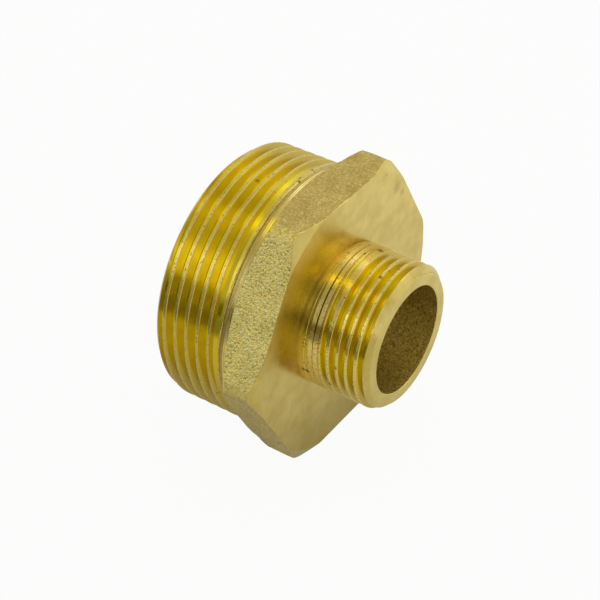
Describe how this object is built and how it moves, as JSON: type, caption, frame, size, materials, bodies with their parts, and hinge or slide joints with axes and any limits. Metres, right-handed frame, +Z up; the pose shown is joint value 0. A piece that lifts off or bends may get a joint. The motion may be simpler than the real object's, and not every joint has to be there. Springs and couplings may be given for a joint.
{
  "type": "pipe nipple",
  "caption": "Reducing hex pipe nipple in brass: a large and a small male parallel pipe thread joined by a wrench hexagon, with a stepped bore.",
  "frame": {"origin": "on the surface that the hexagon's lower flat rests on, under the middle of the fitting's length and width", "axes": "+X along the pipe axis towards the small thread, +Z up, square to the lower and upper hexagon flats"},
  "size_m": [0.0362, 0.056, 0.049],
  "materials": {
    "brass": "turned threads and faces, shot-blasted forged flats"
  },
  "bodies": {
    "root": {"nipple_body": "brass"}
  },
  "joints": []
}
